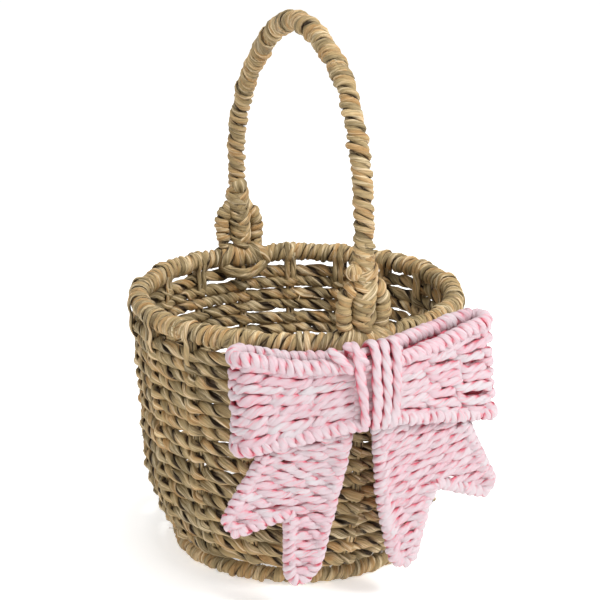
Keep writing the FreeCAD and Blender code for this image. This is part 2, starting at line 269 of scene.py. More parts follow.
class Strands:
    """Strands of cord gathered into one mesh, with a map along the fibres and values for depth and tone; the
    depth value paints shade into the colour.
    """

    def __init__(self, seed):
        self.rng = np.random.default_rng(seed)
        self.points, self.depths, self.tones = [], [], []
        self.corners, self.sizes, self.maps = [], [], []
        self.count = 0

    def lay(
        self, path, core, width, thickness, sides=16, ridges=3, groove=0.2, spin=0.12,
        closed=False, tip=0.45, tone=None, sunk=0.0, level=None,
    ):
        """Adds one strand. Its flat side faces away from the core line.

        sunk adds to the depth, which darkens the colour as painted shade in the creases; level sets one depth
        all over.
        """
        path = np.asarray(path, float)
        count = len(path)
        rng = self.rng
        ahead = headings(path, closed)
        out = path - core
        out = unit(out - ahead * np.sum(out * ahead, axis=1, keepdims=True))
        across = np.cross(ahead, out)
        steps = run_length(path)
        length = steps[-1] + (np.linalg.norm(path[0] - path[-1]) if closed else 0.0)
        turn = spin * steps + rng.uniform(0.0, TURN)
        if closed:
            whole = round(spin * length * ridges / TURN)
            turn = TURN / ridges * whole * steps / length + rng.uniform(0.0, TURN)
        knots = length / UNEVEN_EVERY
        wide, thick = (size / 2 * (1 + drift(rng, count, knots, 0.10, closed)) for size in (width, thickness))
        if not closed:
            end = np.minimum(steps, length - steps) / max(np.mean(thick) * 1.2, 1e-6)
            pinch = tip + (1 - tip) * np.sqrt(np.clip(end, 0.0, 1.0))
            wide, thick = wide * pinch, thick * pinch
        angle = -math.pi / 2 + TURN * np.arange(sides + 1) / sides
        cosine, sine = np.cos(angle[:sides]), np.sin(angle[:sides])
        lobe = np.abs(np.cos(ridges / 2 * (angle[:sides] - turn[:, None])))
        swell = 1 + groove * (0.55 - 1.7 * (1 - lobe) ** 1.5)
        ring = path[:, None] + across[:, None] * (wide[:, None] * cosine * swell)[:, :, None]
        ring = ring + out[:, None] * (thick[:, None] * sine * swell)[:, :, None]
        # painted shade: depth is 0 on the strand's outer face, 1 on the side towards the core and higher in
        # the grooves between ridges; the materials darken the colour by it
        depth = 0.5 * (1 - sine) + 0.24 * (1 - lobe) ** 2
        if level is not None:
            depth = np.full_like(depth, level)
        base = rng.normal(0.5, 0.15) if tone is None else tone
        hue = np.clip(base + drift(rng, count, length / TONE_EVERY, 0.2, closed), 0.0, 1.0)
        girth = math.pi * (width + thickness) / (2 * MAP_UNIT)
        along = steps / MAP_UNIT + rng.uniform(0.0, 50.0)
        start = self.count
        self.points.append(ring.reshape(-1, 3))
        self.depths.append(np.clip(depth + sunk, 0.0, 1.0).ravel())
        self.tones.append(np.repeat(hue, sides))
        rows = count if closed else count - 1
        row, side = np.arange(rows), np.arange(sides)
        pairs = ((row, side), (row, side + 1), (row + 1, side + 1), (row + 1, side))
        quads = np.array([r[:, None] % count * sides + k % sides for r, k in pairs])
        self.corners.append(start + quads.transpose(1, 2, 0).ravel())
        self.sizes.append(np.full(rows * sides, 4))
        here = np.append(along, along[-1] + 0.15)
        fibre = np.append(turn, turn[-1])
        spots = [(here[r][:, None], (angle[k] - fibre[r][:, None]) * girth / TURN) for r, k in pairs]
        chart = np.array([np.broadcast_arrays(*spot) for spot in spots])
        self.maps.append(chart.transpose(2, 3, 0, 1).reshape(-1, 2))
        self.count += count * sides
        if not closed:
            self.cap(path[0], start + side[::-1], along[0], hue[0])
            self.cap(path[-1], start + (count - 1) * sides + side, along[-1], hue[-1])

    def cap(self, centre, ring, along, hue):
        """Closes one end of a strand."""
        self.points.append(np.array([centre]))
        # painted shade: a middling depth on the end caps
        self.depths.append([0.30])
        self.tones.append([hue])
        middle = np.full(len(ring), self.count)
        self.corners.append(np.column_stack((ring, np.roll(ring, -1), middle)).ravel())
        self.sizes.append(np.full(len(ring), 3))
        flat = np.column_stack((np.full(len(ring), along), np.linspace(0.0, 1.0, len(ring))))
        self.maps.append(np.repeat(flat, 3, axis=0))
        self.count += 1

    def build(self, name, material):
        """Makes the mesh object."""
        mesh = bpy.data.meshes.new(name)
        points = np.concatenate(self.points) * MM
        corners = np.concatenate(self.corners).astype(np.int32)
        sizes = np.concatenate(self.sizes).astype(np.int32)
        mesh.vertices.add(len(points))
        mesh.vertices.foreach_set("co", points.ravel())
        mesh.loops.add(len(corners))
        mesh.loops.foreach_set("vertex_index", corners)
        mesh.polygons.add(len(sizes))
        starts = np.concatenate(((0,), np.cumsum(sizes)[:-1])).astype(np.int32)
        mesh.polygons.foreach_set("loop_start", starts)
        mesh.polygons.foreach_set("loop_total", sizes)
        mesh.polygons.foreach_set("use_smooth", np.ones(len(sizes), bool))
        mesh.update(calc_edges=True)
        mesh.validate()
        chart = mesh.uv_layers.new(name="Fibre")
        chart.data.foreach_set("uv", np.concatenate(self.maps).astype(np.float32).ravel())
        for label, values in (("depth", self.depths), ("tone", self.tones)):
            layer = mesh.attributes.new(label, "FLOAT", "POINT")
            layer.data.foreach_set("value", np.concatenate(values).astype(np.float32))
        mesh.materials.append(material)
        thing = bpy.data.objects.new(name, mesh)
        bpy.context.scene.collection.objects.link(thing)
        return thing


def wound_round(
    strands, core, side, radius, pitch, width, thickness, hand=-1, closed=False, starts=1,
    wander=0.10, bed=0.47, uneven=0.06, **look,
):
    """Strands coiled round a core line, on a bed that fills the middle.

    side is a fixed direction of length one that the core never follows; bed is how dark the filling is, as
    painted shade between the turns.
    """
    rng = strands.rng
    line = np.vstack((core, core[:1])) if closed else core
    run = run_length(line)
    turns = run[-1] / (pitch * starts)
    if closed:
        turns = round(turns)
    inner = 2 * radius - 1.1 * thickness
    # painted shade: the filling gets one depth all over, so it shows dark between the turns
    strands.lay(core, core - side * 3.0, inner, inner, sides=10, groove=0.0, closed=closed, level=bed)
    count = int(turns * POINTS_PER_TURN)
    share = np.linspace(0.0, 1.0, count, endpoint=not closed)
    centre = spots_along(line, run, share * run[-1])
    ahead = headings(centre, closed)
    first = unit(side - ahead * np.sum(side * ahead, axis=1, keepdims=True))
    second = np.cross(ahead, first)
    for start in range(starts):
        strayed = drift(rng, count, turns * 1.6, wander / starts, closed)
        phase = hand * TURN * (turns * share + start / starts + strayed)
        reach = (radius - thickness / 2) * (1 + drift(rng, count, turns * 1.7, uneven, closed))
        path = swung(centre, first, second, reach, reach, phase)
        strands.lay(path, centre, width, thickness, closed=closed, **look)


def twined(strands, angles, core, swing_axis, rise_axis, crossings, throw, size, **look):
    """Two strands twisted round each other, one passing on each side of every stake.

    throw holds the swing at a stake, the swing between stakes and the rise; size holds width and thickness.
    """
    stake_swing, free_swing, rise = throw
    rng = strands.rng
    spot = (angles - FRONT) / STAKE_STEP
    gap = np.minimum(spot.astype(int), STAKES - 1)
    share = spot - gap
    before = np.concatenate(((0,), np.cumsum(crossings)))
    ease = share + 0.035 * np.sin(TURN * share)
    phase = math.pi * (before[gap] + crossings[gap] * ease) + drift(rng, len(core), 60, 0.22, True)
    near = np.minimum(share, 1 - share) * STAKE_STEP * np.linalg.norm(core[:, :2], axis=1)
    by_stake = np.exp(-((near / 5.5) ** 2))
    swing = free_swing + (stake_swing - free_swing) * by_stake
    core = core + drift(rng, len(core), 44, 0.5, True)[:, None] * rise_axis
    for turned in (0.0, math.pi):
        wide = swing * (1 + drift(rng, len(core), 50, 0.16, True))
        path = swung(core, swing_axis, -rise_axis, wide, rise * (1 - 0.25 * by_stake), phase + turned)
        strands.lay(path, core, *size, closed=True, **look)


def crossings_for(rng, gap_length, lobe):
    """Whole numbers of crossings between stakes, with an even total so that both strands close up."""
    exact = gap_length / lobe
    counts = np.clip(np.round(exact + rng.normal(0.0, 0.32, STAKES)), 2, 5).astype(int)
    if counts.sum() % 2:
        counts[rng.integers(STAKES)] += 1
    return counts


def loose_fibres(strands, spots, outs, length, width):
    """Short stray fibres that stand off the surface."""
    rng = strands.rng
    for spot, out in zip(spots, outs):
        away = unit(out + rng.normal(0.0, 0.75, 3))
        bend = unit(rng.normal(0.0, 1.0, 3))
        reach = length * rng.uniform(0.4, 1.3) * (2.0 if rng.random() < 0.08 else 1.0)
        share = np.linspace(0.0, 1.0, 7)[:, None]
        path = spot + away * reach * share + bend * reach * 0.35 * share**2 - UP * reach * 0.15 * share**2
        wide = width * rng.uniform(0.6, 1.4)
        strands.lay(path, path - out * 3.0, wide, 0.35, sides=5, ridges=2, groove=0.0, tip=0.1)


# materials


class Value:
    """A socket that can be used in sums."""

    def __init__(self, tree, socket):
        self.tree = tree
        self.socket = socket

    def maths(self, operation, *others, clamp=False):
        settings = {"operation": operation, "use_clamp": clamp}
        return self.tree.node("ShaderNodeMath", settings, {0: self, **dict(enumerate(others, 1))})

    def __add__(self, other):
        return self.maths("ADD", other)

    __radd__ = __add__

    def __sub__(self, other):
        return self.maths("SUBTRACT", other)

    def __rsub__(self, other):
        return self.tree.node("ShaderNodeMath", {"operation": "SUBTRACT"}, {0: other, 1: self})

    def __mul__(self, other):
        return self.maths("MULTIPLY", other)

    __rmul__ = __mul__

    def __pow__(self, other):
        return self.maths("POWER", other)

    def clamped(self):
        return self.maths("ADD", 0.0, clamp=True)


class Tree:
    """A material's nodes."""

    def __init__(self, name):
        self.material = bpy.data.materials.new(name)
        self.material.use_nodes = True
        self.tree = self.material.node_tree
        self.shader = self.tree.nodes["Principled BSDF"]

    def node(self, kind, settings=None, sockets=None, output=0):
        """Adds a node with its settings and the values or links of its sockets."""
        made = self.tree.nodes.new(kind)
        for key, value in (settings or {}).items():
            if key == "stops":
                ramp = made.color_ramp.elements
                ramp.remove(ramp[1])
                ramp[0].position = value[0][0]
                ramp[0].color = (*value[0][1], 1.0)
                for spot, shade in value[1:]:
                    ramp.new(spot).color = (*shade, 1.0)
            else:
                setattr(made, key, value)
        for key, value in (sockets or {}).items():
            if isinstance(value, Value):
                self.tree.links.new(value.socket, made.inputs[key])
            else:
                made.inputs[key].default_value = value
        return Value(self, made.outputs[output])

    def blend(self, share, low, high):
        """Mixes two colours."""
        low, high = ((*part, 1.0) if isinstance(part, tuple) else part for part in (low, high))
        return self.node("ShaderNodeMix", {"data_type": "RGBA"}, {0: share, 6: low, 7: high}, output=2)

    def cloud(self, u, v, scale, detail=3.0, rough=0.55, seed=0.0):
        """Noise over the map along the fibres."""
        spot = self.node("ShaderNodeCombineXYZ", None, {0: u * scale[0], 1: v * scale[1], 2: seed})
        return self.noise(spot, 1.0, detail, rough)

    def noise(self, spot, scale, detail, rough=0.5):
        """Noise at a place, the finer the larger the scale."""
        sockets = {"Vector": spot, "Scale": scale, "Detail": detail, "Roughness": rough}
        return self.node("ShaderNodeTexNoise", None, sockets)

    def finish(self, colour, rough, height, strength, distance, **fixed):
        """Connects the finished colour, roughness and relief."""
        sockets = {"Strength": strength, "Distance": distance, "Height": height}
        bump = self.node("ShaderNodeBump", None, sockets)
        for name, value in (("Base Color", colour), ("Roughness", rough), ("Normal", bump)):
            self.tree.links.new(value.socket, self.shader.inputs[name])
        for name, value in fixed.items():
            self.shader.inputs[name.replace("_", " ")].default_value = value
        return self.material


def fibre_map(tree):
    """Place along and round the strand, how deep in the weave it is, which the materials paint as shade, and
    the strand's own tone.
    """
    chart = tree.node("ShaderNodeUVMap", {"uv_map": "Fibre"})
    u, v = (tree.node("ShaderNodeSeparateXYZ", None, {0: chart}, output=axis) for axis in (0, 1))
    keys = ("depth", "tone")
    return u, v, *(tree.node("ShaderNodeAttribute", {"attribute_name": key}, output=2) for key in keys)


def seagrass_material(name, crease_shade_colour, pale, *shades):
    """Dried seagrass: long fibres, streaks of straw, green and brown, with painted shade in the creases, the
    fibre grooves and the strands' back sides, and pale streaks that are partly painted highlight.
    """
    tree = Tree(name)
    u, v, depth, tone = fibre_map(tree)
    streak = tree.cloud(u, v, (0.24, 4.2), detail=5.0, rough=0.65)
    fibre = tree.cloud(u, v, (0.7, 14.0), rough=0.6, seed=7.0)
    blotch = tree.cloud(u, v, (0.30, 0.7), seed=3.0)
    mix = (tone * 0.55 + (blotch - 0.5) * 1.3 + (streak - 0.5) * 0.9 + 0.22).clamped()
    stops = list(zip((0.10, 0.34, 0.52, 0.68, 0.90), shades))
    straw = tree.node("ShaderNodeValToRGB", {"stops": stops}, {0: mix})
    # pale streaks where the bump's streaks rise: partly the grass's own pale fibres, partly painted highlight
    light = tree.blend(((streak - 0.51) * 7.0).clamped() * 0.75, straw, pale)
    # painted shade: dark lines in the crease colour along the bump's fibre grooves
    split = ((0.46 - fibre) * 7.0).clamped()
    with_groove_shade = tree.blend(split * 0.62, light, crease_shade_colour)
    # painted shade: the crease colour darkens the creases, the coil fillings and the sides that face the
    # cores
    crease_shade = ((depth - 0.35) * 3.0).clamped()
    shaded = tree.blend((crease_shade**1.15) * 0.95, with_groove_shade, crease_shade_colour)
    rough = 0.48 + fibre * 0.25
    return tree.finish(shaded, rough, streak + fibre * 0.6, 1.0, 0.0018, Specular_IOR_Level=0.35)


def paper_material(name, pale, middle, crease_shade_colour):
    """Twisted paper rope: soft creases along the cord, pale outside and stronger in the folds; the rose in
    the folds, the creases and the cords' back sides is painted shade, and the pale on raised crinkles partly
    painted highlight.
    """
    tree = Tree(name)
    u, v, depth, tone = fibre_map(tree)
    crinkle = tree.cloud(u, v, (0.5, 6.5), detail=4.0, rough=0.6)
    fine = tree.cloud(u, v, (1.2, 25.0), seed=5.0)
    # painted shade: rose lines along the grooves of the crinkle bump
    fold_shade = ((0.44 - crinkle) * 7.0).clamped()
    # the strand's own uneven tone, and paler on raised crinkles as painted highlight
    tone_and_crinkle_light = (tone * 0.5 + crinkle * 0.5).clamped()
    ground = tree.blend(tone_and_crinkle_light, middle, pale)
    with_fold_shade = tree.blend(fold_shade * 0.5, ground, crease_shade_colour)
    # painted shade: rose in the creases, the coil fillings and on the sides that face the cores
    crease_shade = ((depth - 0.17) * 2.7).clamped()
    shaded = tree.blend((crease_shade**1.2) * 0.95, with_fold_shade, crease_shade_colour)
    rough = 0.62 + fine * 0.2
    return tree.finish(shaded, rough, crinkle + fine * 0.5, 0.85, 0.0014, Specular_IOR_Level=0.3)


def wire_material(name, colour, dark):
    """Drawn steel wire, a little stained."""
    tree = Tree(name)
    spot = tree.node("ShaderNodeTexCoord", output=3)
    stain = tree.noise(spot, 180.0, 3.0)
    scratch = tree.noise(spot, 2200.0, 2.0)
    tint = tree.blend(((stain - 0.4) * 2.5).clamped(), colour, dark)
    return tree.finish(tint, 0.32 + scratch * 0.25, scratch, 0.2, 0.0001, Metallic=1.0)


def floor_material(name, colour):
    """Plain pale board with the faintest mottling."""
    tree = Tree(name)
    spot = tree.node("ShaderNodeTexCoord", output=3)
    mottle = tree.noise(spot, 3.0, 2.0)
    tint = tree.blend(mottle * 0.04, colour, tuple(0.93 * part for part in colour))
    glow = {"Emission_Color": (*colour, 1.0), "Emission_Strength": 0.5}
    return tree.finish(tint, 0.75 + mottle * 0.1, mottle, 0.02, 0.001, **glow)


# each finish's title, its maker and the colours it takes
FINISHES = {
    "seagrass": (
        "Dried seagrass", seagrass_material,
        ("shadow", "pale_straw", "olive", "green_straw", "straw", "brown_straw", "light_straw"),
    ),
    "paper_rope": ("Pink paper rope", paper_material, ("pale_pink", "pink", "rose")),
    "steel_wire": ("Stained wire", wire_material, ("steel", "stain")),
    "floor": ("Studio floor", floor_material, ("floor",)),
}


def material(name):
    """One of the basket's materials, made when it is first needed."""
    title, make, keys = FINISHES[name]
    colours = bpy.context.scene.basket_colours
    return bpy.data.materials.get(title) or make(title, *(tuple(getattr(colours, key)) for key in keys))


def place(strands, name, slot, *nodes):
    """Builds a piece with the material of its slot, puts it under the root body and hides the CAD nodes it
    stands for.
    """
    piece = strands.build(name, material(slot))
    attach(piece, "root")
    if nodes:
        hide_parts(*nodes)


# sizes and colours


def length(name, default, description):
    return FloatProperty(name=name, description=description + ", in millimetres", default=default, min=0.1)


def colour(name, default, description):
    limits = {"size": 3, "min": 0.0, "max": 1.0}
    return FloatVectorProperty(name=name, description=description, default=default, subtype="COLOR", **limits)


class BasketSizes(bpy.types.PropertyGroup):
    """Sizes of the cords, in millimetres."""

    row_width: length("Row strand width", 7.3, "Width of a seagrass strand in the wall")
    row_thickness: length("Row strand thickness", 4.8, "Thickness of a seagrass strand in the wall")
    lobe: length("Twist length", 12.8, "Distance between crossings in a wall row")
    wrap_pitch: length("Wrap pitch", 6.0, "Distance between turns of the rim's wrap")
    handle_pitch: length("Handle pitch", 5.8, "Distance between turns of the handle's wrap")
    paper_width: length("Paper cord width", 6.4, "Width of a paper cord in the bow")
    paper_pitch: length("Paper wrap pitch", 6.0, "Distance between turns round the bow's edges")
    stray_fibres: IntProperty(name="Stray fibres", description="Loose fibres on the wall", default=90, min=0)


class BasketColours(bpy.types.PropertyGroup):
    """Colours of the seagrass, the paper rope, the wire and the floor, with the colours of the painted shade
    and highlights.
    """

    olive: colour("Olive", (0.175, 0.125, 0.052), "Darkest seagrass strands")
    green_straw: colour("Green straw", (0.315, 0.232, 0.112), "Greenish seagrass")
    straw: colour("Straw", (0.46, 0.33, 0.155), "Common seagrass")
    brown_straw: colour("Brown straw", (0.46, 0.26, 0.095), "Orange-brown seagrass")
    light_straw: colour("Light straw", (0.68, 0.51, 0.27), "Lightest seagrass strands")
    # pale streaks: partly the grass's own pale fibres, partly painted highlight on the raised streaks
    pale_straw: colour("Pale streaks", (0.9, 0.75, 0.5), "Pale streaks along the fibres")
    # painted shade: the colour the creases, fibre grooves, coil fillings and back sides of the seagrass are
    # darkened towards
    shadow: colour("Crease", (0.03, 0.015, 0.006), "Deep creases between the strands")
    # pale pink and pink: a lit and a shaded tone of the paper, mixed by random tone and by the raised
    # crinkles, so partly the paper's own tone, partly painted highlight and shade
    pale_pink: colour("Pale pink", (0.605, 0.605, 0.615), "Outer side of the paper cords")
    pink: colour("Pink", (0.645, 0.39, 0.445), "Shaded side of the paper cords")
    # painted shade: the rose that the folds, creases and back sides of the paper cords are darkened towards
    rose: colour("Rose", (0.78, 0.15, 0.21), "Folds between the paper cords")
    steel: colour("Steel", (0.36, 0.34, 0.31), "Wire")
    stain: colour("Stain", (0.16, 0.11, 0.07), "Stained wire")
    floor: colour("Floor", (0.93, 0.93, 0.925), "Floor and backdrop")


# pieces


class BASKET_OT_rim(bpy.types.Operator):
    """Coil wrap of the rim and its bindings to the top row"""

    bl_idname = "basket.rim"
    bl_label = "Rim"

    def execute(self, context):
        pitch = context.scene.basket_sizes.wrap_pitch
        wrap = Strands(11)
        core = circle(RIM_RADIUS, RIM_HEIGHT, 3.0)
        core[:, 2] += drift(wrap.rng, len(core), 14, 0.7, True)
        core[:, :2] *= 1 + drift(wrap.rng, len(core), 12, 0.006, True)[:, None]
        wound_round(wrap, core, UP, RIM_THICK + 1.0, pitch, pitch * 0.9, 5.5, closed=True, **RIM_COIL)
        for _ in range(7):
            start = wrap.rng.integers(len(core))
            piece = np.roll(core, -start, axis=0)[: wrap.rng.integers(7, 13)]
            wound_round(wrap, piece, UP, RIM_THICK + 1.2, 9.5, 3.4, 1.8, tip=0.3)
        place(wrap, "rim_cord", "seagrass", "rim_wrap")
        ties = Strands(12)
        for number in range(STAKES):
            angle = FRONT + STAKE_STEP * number
            for shift in ((-2.6, 2.4) if number % 3 else (0.0,)):
                turned = angle + shift / RIM_RADIUS
                out = outward(turned)
                points = [out * (RIM_RADIUS + across) + UP * height for across, height in TIE_SHAPE]
                path = smooth(points, 1.7, True)
                middle = np.tile(out * RIM_RADIUS, (len(path), 1)) + UP * np.clip(path[:, 2:3], 176, 194)
                ties.lay(path, middle, 4.3, 2.0, sides=10, groove=0.1, closed=True)
        place(ties, "rim_ties", "seagrass", "rim_bindings")
        return {"FINISHED"}


def wall_rows():
    """Name, radius and height of each wall row's middle line, from the bottom up, in millimetres."""
    rows = []
    for name in sorted(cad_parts):
        if name.startswith("wall_row_"):
            low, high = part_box(name)
            thick = (high.z - low.z) / 2
            rows.append((name, ((high.x - low.x) / 2 - thick) / MM, (low.z + high.z) / 2 / MM))
    return rows


class BASKET_OT_rows(bpy.types.Operator):
    """Twined rows of the wall"""

    bl_idname = "basket.rows"
    bl_label = "Wall rows"

    def execute(self, context):
        sizes = context.scene.basket_sizes
        names, radii, levels = zip(*wall_rows())
        share = np.linspace(0.0, 1.0, TWINED_ROWS)
        heights = levels[0] + (levels[-1] + ROW_CLOSE - levels[0]) * (share + ROW_CROWD * share * (1 - share))
        gathered = {}
        for height in heights:
            number = nearest(levels, height)
            row = gathered.setdefault(names[number], Strands(100 + number))
            radius = np.interp(height, levels, radii)
            core = circle(radius, height, 1.45)
            core[:, 2] += drift(row.rng, len(core), 17, 0.7, True)
            core[:, :2] *= 1 + drift(row.rng, len(core), 15, 0.005, True)[:, None]
            angles, out = round_the_ring(len(core))
            crossings = crossings_for(row.rng, radius * STAKE_STEP, sizes.lobe)
            size = (sizes.row_width, sizes.row_thickness)
            twined(row, angles, core, out, UP, crossings, (4.6, 2.0, 2.5), size, **ROW_STRAND)
        for name, row in gathered.items():
            place(row, name + "_strands", "seagrass", name)
        return {"FINISHED"}


class BASKET_OT_stakes(bpy.types.Operator):
    """Seagrass that runs up the stakes, and stray fibres on the wall"""

    bl_idname = "basket.stakes"
    bl_label = "Stake strands"

    def execute(self, context):
        cover = Strands(31)
        rows = wall_rows()
        profile = [(93.0, 16.8)] + [(radius, height) for _, radius, height in rows] + [(118.0, 190.0)]
        for number in range(STAKES):
            angle = FRONT + STAKE_STEP * number
            out = outward(angle)
            across = outward(angle + math.pi / 2)
            line = smooth([out * radius + UP * height for radius, height in profile], 2.6)
            for shift, lift in ((-2.5, 0.6), (0.0, 1.7), (2.5, 0.6), (-1.6, -1.5), (1.6, -1.5)):
                path = line + across * shift + out * lift
                path = path + across * drift(cover.rng, len(path), 9, 0.25)[:, None]
                cover.lay(path, line, 3.1, 2.2, sides=8, ridges=2, groove=0.08)
        place(cover, "stake_strands", "seagrass")
        stray = Strands(32)
        spots, outs = [], []
        for _ in range(context.scene.basket_sizes.stray_fibres):
            _, radius, height = rows[stray.rng.integers(len(rows))]
            angle = stray.rng.uniform(0.0, TURN)
            out = outward(angle)
            facing = -1 if stray.rng.random() < 0.3 else 1
            spots.append(out * (radius + 3.6 * facing) + UP * (height + stray.rng.uniform(-4, 4)))
            outs.append(out * facing)
        loose_fibres(stray, spots, outs, 6.5, 0.55)
        place(stray, "stray_fibres", "seagrass")
        return {"FINISHED"}


class BASKET_OT_base(bpy.types.Operator):
    """Standing ring and woven floor"""

    bl_idname = "basket.base"
    bl_label = "Base"

    def execute(self, context):
        pitch = context.scene.basket_sizes.wrap_pitch
        wrap = Strands(41)
        core = circle(BASE_RADIUS, BASE_HEIGHT + 0.3, 3.0)
        wound_round(wrap, core, UP, BASE_THICK - 0.35, pitch, pitch, 4.4, closed=True, **BASE_COIL)
        for part in wrap.points:
            part[:, 2] = np.maximum(part[:, 2], LEAST_CLEARANCE)
        place(wrap, "base_ring_cord", "seagrass", "base_ring_wrap")
        floor = Strands(42)
        for radius in FLOOR_RADII:
            core = circle(radius, FLOOR_HEIGHT, 1.7)
            angles, out = round_the_ring(len(core))
            crossings = np.full(STAKES, 2 if radius > 55 else 1)
            rise = np.tile(UP, (len(core), 1))
            twined(floor, angles, core, rise, out, crossings, (2.9, 1.7, 2.9), (6.6, 3.4), **FLOOR_STRAND)
        eye = circle(3.9, FLOOR_HEIGHT, 1.0)
        wound_round(floor, eye, UP, 3.6, 4.0, 4.2, 2.4, closed=True, sides=8)
        place(floor, "floor_strands", "seagrass", "floor_weave")
        return {"FINISHED"}


class BASKET_OT_handle(bpy.types.Operator):
    """Coil wrap of the hoop handle"""

    bl_idname = "basket.handle"
    bl_label = "Handle"

    def execute(self, context):
        pitch = context.scene.basket_sizes.handle_pitch
        wrap = Strands(51)
        core = smooth(HANDLE_PATH, 3.0)
        wound_round(wrap, core, SIDEWAYS, HANDLE_THICK + 0.2, pitch, pitch * 0.97, 5.2, **HANDLE_COIL)
        for _ in range(8):
            start = wrap.rng.integers(4, len(core) - 16)
            piece = core[start : start + wrap.rng.integers(6, 12)]
            wound_round(wrap, piece, SIDEWAYS, HANDLE_THICK + 1.0, 13.0, 3.2, 1.8, tip=0.3)
        place(wrap, "handle_cord", "seagrass", "handle_wrap")
        return {"FINISHED"}


def leg_depth(side, height):
    """How far forward or back the hoop stands at a height near its foot."""
    leg = sorted(((y, z) for _, y, z in HANDLE_PATH if y * side > 0), key=lambda point: point[1])
    (foot, low), (knee, high) = leg[0], leg[1]
    return foot + (knee - foot) * (height - low) / (high - low)


class BASKET_OT_feet(bpy.types.Operator):
    """Three-lobed knots that hold the handle to the rim"""

    bl_idname = "basket.feet"
    bl_label = "Handle feet"

    def execute(self, context):
        for name, side, seed in (("front_foot", -1, 61), ("back_foot", 1, 62)):
            depth = BACKWARD * side
            lobes = Strands(seed)
            for hand in (-1, 1):
                core = smooth([(hand * x, leg_depth(side, z) + side * 1.0, z) for x, z in LOBE_PATH], 1.5)
                wound_round(lobes, core, depth, 5.8, 6.2, 6.6, 4.6, hand=hand, **LOBE_COIL)
            place(lobes, name + "_lobes", "seagrass", name + "_brace_wrap", name + "_brace_wire")
            lash = Strands(seed + 10)
            for face, level, hand in product((-1, 1), range(LASH_TURNS), (-1, 1)):
                low = LASH_LOW + LASH_PITCH * (level + (0.5 if hand > 0 else 0.0)) + lash.rng.normal(0.0, 0.4)
                turn = np.radians(np.linspace(105.0, -38.0, 9)) * hand
                rise = np.linspace(low + 11.0, low, 9)
                reach = 6.3 + 1.4 * np.sin(np.linspace(0.0, math.pi, 9)) + lash.rng.normal(0.0, 0.25)
                leg = [leg_depth(side, z) for z in rise]
                path = np.column_stack((reach * np.sin(turn), leg + face * reach * np.cos(turn), rise))
                path = smooth(path, 1.5)
                inside = path * UP + BACKWARD * leg_depth(side, low)
                # painted shade: the lashing turns get extra crease shade
                lash.lay(path, inside, 5.6, 4.2, groove=0.28, sunk=0.10)
            reach = RIM_THICK + 2.0
            collar = smooth([(0, leg_depth(side, z), z) for z in (239.0, 244.0, 249.0)], 1.5)
            wound_round(lash, collar, SIDEWAYS, 8.6, 5.2, 5.6, 4.0, hand=1, wander=0.12, groove=0.24)
            along, height, size = KNOBS[side]
            knob = np.array((along, leg_depth(side, 246.0) - 3.0, height))
            for tilt in (0.0, 0.9, 1.9):
                angle = np.linspace(0.0, TURN, 18, endpoint=False)
                first = SIDEWAYS * math.cos(tilt) + depth * math.sin(tilt)
                ring = swung(knob, first, UP, size, size, angle)
                lash.lay(ring, np.tile(knob, (18, 1)), 5.4, 3.6, closed=True)
            for shift in np.linspace(-FOOT_SPREAD, FOOT_SPREAD, FOOT_CORDS):
                shift += lash.rng.normal(0.0, 1.2)
                angle = side * math.pi / 2 - side * shift / RIM_RADIUS
                lean = side * shift * 0.5 / RIM_RADIUS
                path = []
                for turn in np.radians(np.linspace(-150, 150, 9)):
                    sine, cosine = math.sin(turn), math.cos(turn)
                    out = outward(angle + lean * max(cosine, 0.0))
                    path.append(out * (RIM_RADIUS + reach * sine) + UP * (RIM_HEIGHT + reach * cosine))
                path = smooth(path, 1.6)
                middle = outward(angle) * RIM_RADIUS + UP * RIM_HEIGHT
                lash.lay(path, np.tile(middle, (len(path), 1)), 6.2, 3.8, groove=0.24)
            place(lash, name + "_cords", "seagrass", name + "_lashing")
        sling = Strands(63)
        for width, thick, drop in ((5.4, 4.0, 0.0), (4.6, 3.4, 3.4)):
            start, end = (-21, 112, 190 + drop / 2), (22, 112, 192)
            hang = ((-12, 107, 183 + drop), (0, 105.5, 180 + drop), (12, 107, 184 + drop))
            path = smooth((start, *hang, end), 1.8)
            sling.lay(path, path + BACKWARD * 6.0, width, thick)
        place(sling, "back_foot_sling", "seagrass")
        return {"FINISHED"}


def loop_plan(side, inner, outer):
    """The bow loop seen from above: out along the front, round the end and back."""
    bend = (LOOP_FRONT[1] - LOOP_BACK[1]) / 2
    middle = (LOOP_FRONT[1] + LOOP_BACK[1]) / 2
    shares = np.arange(0.0, 1.0, 0.125)
    plan = [(between((inner, outer), share), between(LOOP_FRONT, share)) for share in shares]
    for turn in np.radians((75, 45, 15, -15, -45, -75)):
        plan.append((outer + bend * math.cos(turn), middle + bend * math.sin(turn)))
    plan += [(between((inner, outer), share), between(LOOP_BACK, share)) for share in shares[::-1]]
    return np.array([(side * along, -depth, 0.0) for along, depth in plan])


def loop_edge(side, inner, edge):
    """The top or bottom edge of a bow loop. The front of the top edge sags between the knot and the end."""
    outer = LOOP_ENDS[side][edge]
    plan = loop_plan(side, inner, outer)
    reach = np.abs(plan[:, 0])
    ends = (LOOP_TOP if edge else LOOP_BOTTOM)[side]
    plan[:, 2] = between(ends, (reach - LOOP_INNER) / (LOOP_OUTER - LOOP_INNER))
    if edge:
        front = np.arange(len(plan)) < 9
        rise = np.clip((reach - LOOP_RISE[side]) / (outer - LOOP_RISE[side]), 0.0, 1.0)
        plan[:, 2] -= np.where(front, LOOP_SAG, LOOP_BACK_SAG[side]) * (1 - rise**1.5)
    return plan


